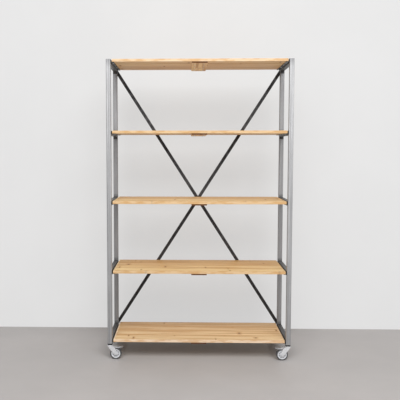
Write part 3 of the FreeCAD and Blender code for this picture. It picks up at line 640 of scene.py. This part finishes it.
def mottled_material(name, light, dark, rough_range, relief, constants=None, shaded=None):
    """Plated metal or a moulding: a broad mottle, a fine speckle and a little relief.

    The last argument is a colour of painted shade, and the two distances from the middle of the unit between
    which it comes in.
    """
    material, tree, shader = surface(name)
    place, axes = object_place(tree)
    marks = use_group(tree, streak_group(), {"Vector": place, "Stretch": FINE_STRETCH})
    patchy = sums(tree, "MULTIPLY", sums(tree, "ADD", marks["Mottle"], marks["Streak"]), 0.5)
    base = blend(tree, patchy, dark, light)
    base = blend(tree, ramp(tree, marks["Speckle"], *SPECKLE_RAMP), base, dark)
    # Painted shade towards the tips of the brake levers
    if shaded:
        shade, start, stop = shaded
        tip_shade_share = ramp(tree, sums(tree, "ABSOLUTE", axes[0]), start, stop, 0.0, TIP_SHADE_SHARE)
        base = blend(tree, tip_shade_share, base, shade)
    roughness = scaled(tree, marks["Streak"], *rough_range)
    close(tree, shader, base, roughness, marks["Speckle"], relief, constants)
    return material


def hub_material(finishes, sizes):
    """Moulded hub: a pale boss and rim, and a darker dish between them."""
    material, tree, shader = surface("moulded_hub")
    place, axes = object_place(tree)
    marks = use_group(tree, streak_group(), {"Vector": place, "Stretch": FINE_STRETCH})
    axle = axle_of("right_front")
    rim = (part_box("right_front_wheel_hub")[1].z - axle.z) - sizes.hub_rim
    sideways = sums(tree, "SUBTRACT", sums(tree, "ABSOLUTE", axes[0]), axle.x)
    upwards = sums(tree, "SUBTRACT", axes[2], axle.z)
    radius = vector_sums(tree, "LENGTH", joined(tree, sideways, upwards))
    outside = ramp(tree, radius, *[rim - inset for inset in HUB_RIM_RUN])
    inside = ramp(tree, radius, *[sizes.hub_boss_radius + reach for reach in HUB_BOSS_RUN])
    pale = sums(tree, "MAXIMUM", outside, inside)
    base = blend(tree, pale, finishes.hub_shade, finishes.hub)
    base = blend(tree, scaled(tree, marks["Mottle"], 0.0, HUB_MOTTLE_SHARE), base, finishes.hub_shade)
    rough_range, relief = MOULDED
    close(tree, shader, base, scaled(tree, marks["Streak"], *rough_range), marks["Speckle"], relief)
    return material


def finish(names, material):
    """Give a finish to pieces of the frame through their material slots."""
    for name in names:
        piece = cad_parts[name]
        for slot in piece.material_slots:
            slot.material = material


# Mesh helpers

def mesh_object(name, sheet, material):
    """Turn a finished bmesh into an object of the scene."""
    mesh = bpy.data.meshes.new(name)
    sheet.to_mesh(mesh)
    sheet.free()
    mesh.materials.append(material)
    made = bpy.data.objects.new(name, mesh)
    bpy.context.scene.collection.objects.link(made)
    return made


def add_piece(name, sheet, material, body, slot, *replaced):
    """Turn a finished bmesh into a piece that rides on a body."""
    made = mesh_object(name, sheet, material)
    made.data.shade_smooth()
    made.data.set_sharp_from_angle(angle=SHARP_ANGLE)
    weighted = made.modifiers.new("even_shading", "WEIGHTED_NORMAL")
    weighted.keep_sharp = True
    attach(made, body)
    if replaced:
        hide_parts(*replaced)


def tidy_mesh(sheet):
    """Merge doubles and turn all faces outwards."""
    bmesh.ops.remove_doubles(sheet, verts=sheet.verts, dist=MERGE_DISTANCE)
    bmesh.ops.recalc_face_normals(sheet, faces=sheet.faces)


def round_edges(sheet, edges, radius, segments=2):
    """Round some edges of a bmesh."""
    bmesh.ops.bevel(sheet, geom=edges, offset=radius, offset_type="OFFSET", affect="EDGES", segments=segments,
                    profile=ROUND_PROFILE, material=-1, clamp_overlap=True)


def verts_among(items):
    """Vertices among the parts of a bmesh."""
    return [item for item in items if isinstance(item, bmesh.types.BMVert)]


def repeat(sheet, places):
    """Copy what a bmesh holds to each of some places, and take the first away."""
    source = list(sheet.verts) + list(sheet.edges) + list(sheet.faces)
    for place in places:
        copied = bmesh.ops.duplicate(sheet, geom=source)["geom"]
        bmesh.ops.transform(sheet, matrix=place, verts=verts_among(copied))
    bmesh.ops.delete(sheet, geom=verts_among(source), context="VERTS")


def rounded_copy(node_name, radius):
    """Copy of a frame piece's mesh with its sharp edges rounded."""
    sheet = bmesh.new()
    sheet.from_mesh(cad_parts[node_name].data)
    bmesh.ops.remove_doubles(sheet, verts=sheet.verts, dist=MERGE_DISTANCE)
    bmesh.ops.dissolve_limit(sheet, angle_limit=FLAT_ANGLE, verts=sheet.verts, edges=sheet.edges)
    sharp = [edge for edge in sheet.edges if edge.is_manifold and edge.calc_face_angle() > SHARP_ANGLE]
    round_edges(sheet, sharp, radius)
    return sheet


def ring(inner, outer, half, rounding, steps):
    """Ring about the Y axis, its outer corners rounded."""
    sheet = bmesh.new()
    section = ((inner, -half), (outer, -half), (outer, half), (inner, half))
    corners = [sheet.verts.new((radius, offset, 0)) for radius, offset in section]
    sheet.faces.new(corners)
    bmesh.ops.bevel(sheet, geom=corners[1:3], offset=rounding, offset_type="OFFSET", affect="VERTICES",
                    segments=SHOULDER_SEGMENTS, profile=ROUND_PROFILE, material=-1)
    bmesh.ops.delete(sheet, geom=list(sheet.faces), context="FACES_ONLY")
    bmesh.ops.spin(sheet, geom=list(sheet.verts) + list(sheet.edges), cent=(0, 0, 0), axis=(0, 1, 0),
                   angle=math.tau, steps=steps, use_merge=True)
    tidy_mesh(sheet)
    return sheet


def rod(radius, span, segments, axis):
    """Cylinder about the origin, turned from Z by a quarter turn about an axis."""
    sheet = bmesh.new()
    bmesh.ops.create_cone(sheet, cap_ends=True, segments=segments, radius1=radius, radius2=radius, depth=span,
                          matrix=Matrix.Rotation(QUARTER_TURN, 4, axis))
    return sheet


def bead(radius, span, ripples):
    """Rippled weld bead about the origin, along X, with tapered ends."""
    sheet = rod(radius, span, BEAD_SEGMENTS, "Y")
    lengthwise = [edge for edge in sheet.edges if abs(edge.verts[0].co.x - edge.verts[1].co.x) > span / 2]
    last = 2 * ripples
    bmesh.ops.subdivide_edges(sheet, edges=lengthwise, cuts=last - 1)
    for step in range(last + 1):
        x = span * (step / last - 0.5)
        width = BEAD_END if step in (0, last) else BEAD_CREST if step % 2 else BEAD_TROUGH
        loop = [vert for vert in sheet.verts if abs(vert.co.x - x) < MERGE_DISTANCE]
        bmesh.ops.scale(sheet, vec=(1.0, width, width), verts=loop)
    tidy_mesh(sheet)
    return sheet


def washer(sizes, head_radius):
    """Washer about the Y axis, a little wider than a bolt's head."""
    return ring(sizes.washer_bore, head_radius + sizes.washer_width, sizes.washer_thickness / 2,
                sizes.washer_thickness / WASHER_ROUNDING_PART, WASHER_STEPS)


def at(x, y, z, turn=0.0):
    """Place in the frame, turned about Z."""
    return Matrix.Translation((x, y, z)) @ Matrix.Rotation(turn, 4, "Z")


def axle_of(corner):
    """Centre of a castor's wheel."""
    low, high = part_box(f"{corner}_wheel_hub")
    return (low + high) / 2


# Operators of the unit

class SHELVING_OT_finish_frames(bpy.types.Operator):
    """Finish the uprights, rails, ledges, caps, plugs and brace"""
    bl_idname = "shelving.finish_frames"
    bl_label = "Finish side frames and brace"

    def execute(self, context):
        finishes = context.scene.shelving_finishes
        # Uprights: painted shade darkens the rear ones, and the burnt zones carry painted shade under the
        # rails
        finish(UPRIGHTS + ["upright_caps"], steel_material(
            "upright_steel", finishes.steel_light, finishes.steel_dark, finishes.weld_dark,
            finishes.rear_upright_shade, UPRIGHT_STRETCH, upright_burn_and_shade_zone))
        # Rails: the uprights' steel coloured much darker as painted shade, with more painted shade on their
        # rear halves
        finish(RAILS, steel_material(
            "shaded_rail_steel", finishes.rail_shaded_steel, finishes.rail_shaded_streaks, finishes.weld_dark, finishes.rail_shaded_streaks,
            RAIL_STRETCH, rail_weld_zone))
        finish(LEDGES + BRACES, mill_scale_material(finishes))
        finish(["upright_end_plugs"], mottled_material(
            "black_plug", finishes.plug, finishes.plug_bloom, *PLUG))
        return {"FINISHED"}


class SHELVING_OT_finish_shelves(bpy.types.Operator):
    """Finish the planks and the cleats"""
    bl_idname = "shelving.finish_shelves"
    bl_label = "Finish shelves"

    def execute(self, context):
        finishes = context.scene.shelving_finishes
        finish(PLANKS, plank_material(finishes))
        finish(CLEATS, cleat_material(finishes))
        return {"FINISHED"}


class SHELVING_OT_weld_beads(bpy.types.Operator):
    """Lay weld beads where the rails meet the uprights and the ledges"""
    bl_idname = "shelving.weld_beads"
    bl_label = "Lay weld beads"

    def execute(self, context):
        finishes = context.scene.shelving_finishes
        sizes = context.scene.shelving_details
        weld = mottled_material("weld_bead", finishes.weld_light, finishes.weld_dark, *WELD)
        rail_zs = SHELF_TOPS[:-1] + [top - TUBE_SIDE for top in SHELF_TOPS]
        rail_ys = (MIDDLE_Y - JOINT_FACE_Y, MIDDLE_Y + JOINT_FACE_Y)
        ledge_zs = [top - LEDGE_DROP for top in SHELF_TOPS]
        ledge_ys = (LEDGE_LOW.y + sizes.ledge_weld_inset, MIDDLE_Y, LEDGE_HIGH.y - sizes.ledge_weld_inset)
        for side, way in SIDES.items():
            sheet = bead(sizes.weld_radius, sizes.weld_length, sizes.weld_ripples)
            repeat(sheet, [at(way * UPRIGHT_X, y, z) for z in rail_zs for y in rail_ys])
            add_piece(f"{side}_rail_welds", sheet, weld, "frame", "steel_tube")
            sheet = bead(sizes.weld_radius * LEDGE_BEAD, sizes.weld_length, sizes.weld_ripples)
            repeat(sheet, [at(way * INNER_FACE_X, y, z, QUARTER_TURN) for z in ledge_zs for y in ledge_ys])
            add_piece(f"{side}_ledge_welds", sheet, weld, "frame", "steel_tube")
        return {"FINISHED"}


class SHELVING_OT_castors(bpy.types.Operator):
    """Finish the castors, and give them rounded forks and tyres, hub ribs, pedal grips and washers"""
    bl_idname = "shelving.castors"
    bl_label = "Make castors"

    def execute(self, context):
        finishes = context.scene.shelving_finishes
        sizes = context.scene.shelving_details
        zinc = mottled_material("zinc_plate", finishes.zinc, finishes.zinc_dull, *ZINC)
        rib = mottled_material("pale_rib", finishes.hub, finishes.zinc_dull, *MOULDED)
        rubber = mottled_material("grey_tyre", finishes.tyre, finishes.tyre_dust, *TYRE)
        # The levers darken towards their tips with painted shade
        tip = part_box("right_front_castor_brake")[0].x
        shaded = (finishes.hub_shade, *[tip + run for run in TIP_SHADE_RUN])
        plate = mottled_material("tip_shaded_lever", finishes.zinc, finishes.zinc_dull, *ZINC, shaded)
        finish(PLATED, zinc)
        finish([f"{corner}_wheel_hub" for corner in CORNERS], hub_material(finishes, sizes))
        for corner in CORNERS:
            fork = rounded_copy(f"{corner}_castor_fork", sizes.edge_rounding)
            add_piece(f"{corner}_pressed_fork", fork, zinc, f"{corner}_fork", "zinc", f"{corner}_castor_fork")
            self.add_tyre(corner, sizes, rubber)
            self.add_ribs(corner, sizes, rib)
            self.add_axle_washers(corner, sizes, zinc)
        for corner in BRAKED_CORNERS:
            lever = rounded_copy(f"{corner}_castor_brake", sizes.edge_rounding)
            add_piece(f"{corner}_brake_lever", lever, plate, f"{corner}_brake", "zinc",
                      f"{corner}_castor_brake")
            self.add_pedal_grip(corner, sizes, plate)
        return {"FINISHED"}

    def add_tyre(self, corner, sizes, rubber):
        """Tyre with rounded shoulders in place of the plain one."""
        low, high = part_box(f"{corner}_tyre")
        radius = (high.z - low.z) / 2
        half = (high.y - low.y) / 2
        sheet = ring(radius - sizes.tyre_thickness, radius, half, sizes.tyre_rounding, TYRE_STEPS)
        bmesh.ops.translate(sheet, vec=(low + high) / 2, verts=sheet.verts)
        add_piece(f"{corner}_rounded_tyre", sheet, rubber, f"{corner}_wheel", "tyre_rubber", f"{corner}_tyre")

    def add_ribs(self, corner, sizes, rib):
        """Ribs from the boss to the rim in both dishes of a hub."""
        low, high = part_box(f"{corner}_wheel_hub")
        tyre_low, tyre_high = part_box(f"{corner}_tyre")
        half = (tyre_high.y - tyre_low.y) / 2
        rim = (high.z - low.z) / 2 - sizes.hub_rim
        tall = sizes.hub_dish - sizes.hub_rib_inset
        size = (rim - sizes.hub_boss_radius, tall, sizes.hub_rib_width)
        sheet = bmesh.new()
        bmesh.ops.create_cube(sheet, size=1.0)
        bmesh.ops.scale(sheet, vec=size, verts=sheet.verts)
        upper = [edge for edge in sheet.edges if all(vert.co.y > 0 for vert in edge.verts)]
        round_edges(sheet, upper, sizes.hub_rib_width / RIB_ROUNDING_PART)
        centre = Matrix.Translation(axle_of(corner))
        out = Matrix.Translation(((rim + sizes.hub_boss_radius) / 2, half - sizes.hub_dish + tall / 2, 0))
        turns = [Matrix.Rotation(math.tau * n / sizes.hub_ribs, 4, "Y") for n in range(sizes.hub_ribs)]
        flips = (Matrix.Identity(4), Matrix.Rotation(math.pi, 4, "X"))
        repeat(sheet, [centre @ flip @ turn @ out for flip in flips for turn in turns])
        add_piece(f"{corner}_hub_ribs", sheet, rib, f"{corner}_wheel", "hub_plastic")

    def add_axle_washers(self, corner, sizes, zinc):
        """Washers under the axle bolt's head and nut."""
        low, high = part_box(f"{corner}_castor_axle")
        axle = axle_of(corner)
        half = sizes.washer_thickness / 2
        ys = (low.y + sizes.axle_head - half, high.y - sizes.axle_nut + half)
        sheet = washer(sizes, (high.x - low.x) / 2)
        repeat(sheet, [at(axle.x, y, axle.z) for y in ys])
        add_piece(f"{corner}_axle_washers", sheet, zinc, f"{corner}_fork", "zinc")

    def add_pedal_grip(self, corner, sizes, plate):
        """Grip ridges across the sloping top of a brake pedal."""
        low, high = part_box(f"{corner}_castor_brake")
        way = 1 if low.x < 0 else -1
        boss_x, end_x = (low.x, high.x) if way > 0 else (high.x, low.x)
        run = abs(end_x - (boss_x + way * sizes.pedal_boss_radius))
        slope = -sizes.pedal_droop / run
        radius = sizes.pedal_ridge_radius
        sheet = rod(radius, sizes.pedal_ridge_length, RIDGE_SEGMENTS, "X")
        rims = [edge for edge in sheet.edges
                if abs(edge.verts[0].co.y - edge.verts[1].co.y) < MERGE_DISTANCE]
        round_edges(sheet, rims, radius * RIDGE_ROUNDING, RIDGE_END_SEGMENTS)
        middle_y = (low.y + high.y) / 2
        top = high.z - sizes.lever_sink
        backs = [sizes.pedal_ridge_spacing * (n + 1) for n in range(sizes.pedal_ridges)]
        repeat(sheet, [at(end_x - way * back, middle_y, top + slope * (run - back)) for back in backs])
        add_piece(f"{corner}_pedal_grip", sheet, plate, f"{corner}_brake", "zinc")


class SHELVING_OT_brace_washers(bpy.types.Operator):
    """Put washers under the heads of the brace bolts"""
    bl_idname = "shelving.brace_washers"
    bl_label = "Add brace washers"

    def execute(self, context):
        sizes = context.scene.shelving_details
        low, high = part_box("brace_bolts")
        y = high.y - sizes.brace_bolt_head + sizes.washer_thickness / 2
        zs = (low.z + sizes.brace_bolt_half, high.z - sizes.brace_bolt_half)
        sheet = washer(sizes, sizes.brace_bolt_half)
        repeat(sheet, [at(way * UPRIGHT_X, y, z) for way in SIDES.values() for z in zs])
        add_piece("brace_washers", sheet, bpy.data.materials["mill_scale"], "frame", "flat_bar_steel")
        return {"FINISHED"}


# Stage

def plane(name, start, along, across, material):
    """Flat sheet of the stage, spanned from a corner by its two sides."""
    sheet = bmesh.new()
    corners = (start, start + along, start + along + across, start + across)
    sheet.faces.new([sheet.verts.new(corner) for corner in corners])
    made = mesh_object(name, sheet, material)


def stage_material(name, pale, roughness, gloss):
    """Plain sheet with a faint mottle."""
    material, tree, shader = surface(name)
    place = object_place(tree)[0]
    marks = use_group(tree, streak_group(), {"Vector": stretched(tree, place, STAGE_STRETCH)})
    shade = [part * STAGE_SHADE for part in pale]
    tree.links.new(blend(tree, marks["Mottle"], shade, pale), shader.inputs["Base Color"])
    shader.inputs["Roughness"].default_value = roughness
    shader.inputs["Specular IOR Level"].default_value = gloss
    return material, tree, shader


def looked_at(tree):
    """1 where the camera looks, straight, by reflection or through glass, and 0 where light only bounces."""
    path = node(tree, "ShaderNodeLightPath").outputs
    mirrored = sums(tree, "MAXIMUM", path["Is Glossy Ray"], path["Is Transmission Ray"])
    return sums(tree, "MAXIMUM", path["Is Camera Ray"], mirrored)


def wall_material(stage):
    """Pale wall with faint shadows, which lets the view through from behind."""
    material, tree, shader = stage_material("pale_wall", stage.wall, *WALL_SURFACE)
    glow = node(tree, "ShaderNodeEmission", {"Color": (*stage.wall_glow, 1.0)})
    share = sums(tree, "MULTIPLY", looked_at(tree), stage.wall_glow_share)
    lit = node(tree, "ShaderNodeMixShader", {0: share, 1: shader.outputs[0], 2: glow.outputs[0]})
    clear = node(tree, "ShaderNodeBsdfTransparent")
    behind = node(tree, "ShaderNodeNewGeometry").outputs["Backfacing"]
    mixed = node(tree, "ShaderNodeMixShader", {0: behind, 1: lit.outputs[0], 2: clear.outputs[0]})
    tree.links.new(mixed.outputs[0], tree.nodes["Material Output"].inputs["Surface"])
    material.cycles.emission_sampling = "NONE"
    return material


def surroundings(stage):
    """World that lights evenly and looks a little paler than its light."""
    world = bpy.data.worlds.new("studio")
    world.use_nodes = True
    tree = world.node_tree
    tone = blend(tree, looked_at(tree), stage.sky, stage.backdrop)
    tree.links.new(tone, tree.nodes["Background"].inputs["Color"])
    return world


def facing(direction):
    """Turn of a lamp or a camera that faces along a direction."""
    return direction.to_track_quat("-Z", "Y").to_euler()


def panel_lamp(name, place, target, width, height, watts):
    """Large soft lamp that faces a point."""
    lamp = bpy.data.lights.new(name, "AREA")
    lamp.shape = "RECTANGLE"
    lamp.size = width
    lamp.size_y = height
    lamp.energy = watts
    made = bpy.data.objects.new(name, lamp)
    made.location = place
    made.rotation_euler = facing(Vector(target) - Vector(place))
    bpy.context.scene.collection.objects.link(made)


class SHELVING_OT_stage(bpy.types.Operator):
    """Set up the floor, wall, lamps and camera"""
    bl_idname = "shelving.stage"
    bl_label = "Set the stage"

    def execute(self, context):
        scene = context.scene
        stage = scene.shelving_stage
        width = Vector((2 * STAGE_REACH, 0, 0))
        plane("floor", Vector((-STAGE_REACH, -STAGE_REACH, 0)), width, Vector((0, 2 * STAGE_REACH, 0)),
              stage_material("pale_floor", stage.floor, *FLOOR_SURFACE)[0])
        plane("wall", Vector((-STAGE_REACH, stage.wall_y, 0)), width, Vector((0, 0, WALL_HEIGHT)),
              wall_material(stage))
        scene.world = surroundings(stage)
        panel_lamp("front_panel", *FRONT_PANEL, stage.front_power)
        panel_lamp("key_panel", *KEY_PANEL, stage.key_power)
        panel_lamp("side_panel", *SIDE_PANEL, stage.side_power)
        lens = bpy.data.cameras.new("camera")
        lens.lens = stage.lens
        lens.shift_x, lens.shift_y = stage.shift
        camera = bpy.data.objects.new("camera", lens)
        camera.location = stage.eye
        level_share = math.cos(stage.pitch)
        forward = Vector((math.sin(stage.yaw) * level_share, math.cos(stage.yaw) * level_share,
                          -math.sin(stage.pitch)))
        camera.rotation_euler = facing(forward)
        scene.collection.objects.link(camera)
        scene.camera = camera
        scene.view_settings.view_transform = "Standard"
        return {"FINISHED"}


OPERATORS = (SHELVING_OT_finish_frames, SHELVING_OT_finish_shelves, SHELVING_OT_weld_beads,
             SHELVING_OT_castors, SHELVING_OT_brace_washers, SHELVING_OT_stage)
GROUPS = {"shelving_finishes": ShelvingFinishes, "shelving_details": ShelvingDetails,
          "shelving_stage": ShelvingStage}


class SHELVING_PT_sidebar(bpy.types.Panel):
    """Settings and steps of the shelving unit"""
    bl_idname = "SHELVING_PT_sidebar"
    bl_label = "Shelving unit"
    bl_space_type = "VIEW_3D"
    bl_region_type = "UI"
    bl_category = "Shelving"

    def draw(self, context):
        for operator in OPERATORS:
            self.layout.operator(operator.bl_idname)
        for name, group in GROUPS.items():
            column = self.layout.column()
            for setting in group.__annotations__:
                column.prop(getattr(context.scene, name), setting)


CLASSES = (*GROUPS.values(), *OPERATORS, SHELVING_PT_sidebar)


def register():
    """Register the classes and the groups of settings."""
    for item in CLASSES:
        bpy.utils.register_class(item)
    for name, group in GROUPS.items():
        setattr(bpy.types.Scene, name, PointerProperty(type=group))


def unregister():
    """Take back what register() did."""
    for name in GROUPS:
        delattr(bpy.types.Scene, name)
    for item in reversed(CLASSES):
        bpy.utils.unregister_class(item)


def main():
    """Dress the unit and set the stage."""
    register()
    bpy.ops.shelving.finish_frames()
    bpy.ops.shelving.finish_shelves()
    bpy.ops.shelving.weld_beads()
    bpy.ops.shelving.castors()
    bpy.ops.shelving.brace_washers()
    bpy.ops.shelving.stage()


if __name__ == "__main__":
    main()
